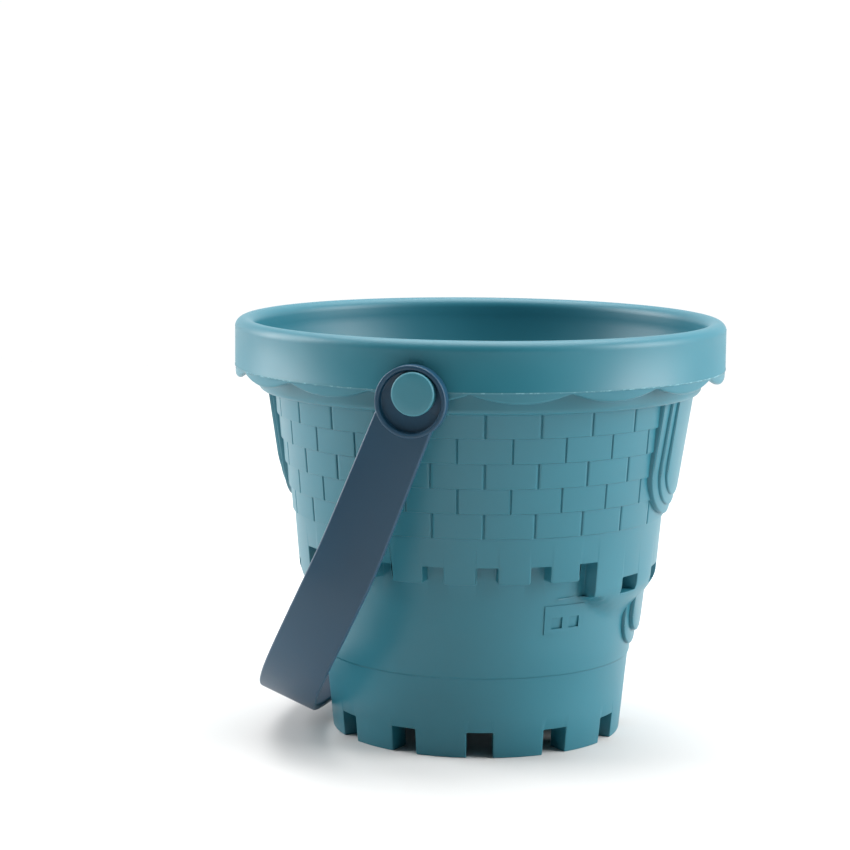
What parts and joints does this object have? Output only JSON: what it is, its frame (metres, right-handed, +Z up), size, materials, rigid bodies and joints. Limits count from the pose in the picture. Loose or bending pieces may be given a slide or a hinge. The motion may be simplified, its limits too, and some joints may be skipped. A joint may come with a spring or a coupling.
{
  "type": "sand bucket",
  "caption": "Round beach bucket shaped like an upside-down castle, with a scalloped rim skirt and a flat strap handle that swings on headed side pins.",
  "frame": {"origin": "centre of the foot on the ground, under the middle of the bucket", "axes": "+Z up, Y along the pivot axis of the handle with the front pin at -Y, X towards the castle doors; the handle hangs towards -X"},
  "size_m": [0.2, 0.2152, 0.169],
  "materials": {
    "bucket_plastic": "satin moulded polypropylene",
    "pin_plastic": "satin moulded polypropylene",
    "handle_plastic": "satin moulded polypropylene"
  },
  "bodies": {
    "bucket": {"bucket_body": "bucket_plastic", "front_pivot_pin": "pin_plastic", "rear_pivot_pin": "pin_plastic"},
    "handle": {"handle": "handle_plastic"}
  },
  "joints": [
    {"name": "handle_swing", "type": "hinge", "parent": "bucket", "child": "handle", "pos_m": [0, 0, 0.1497], "axis": [0, 1, 0], "range_deg": [0, 304]}
  ]
}
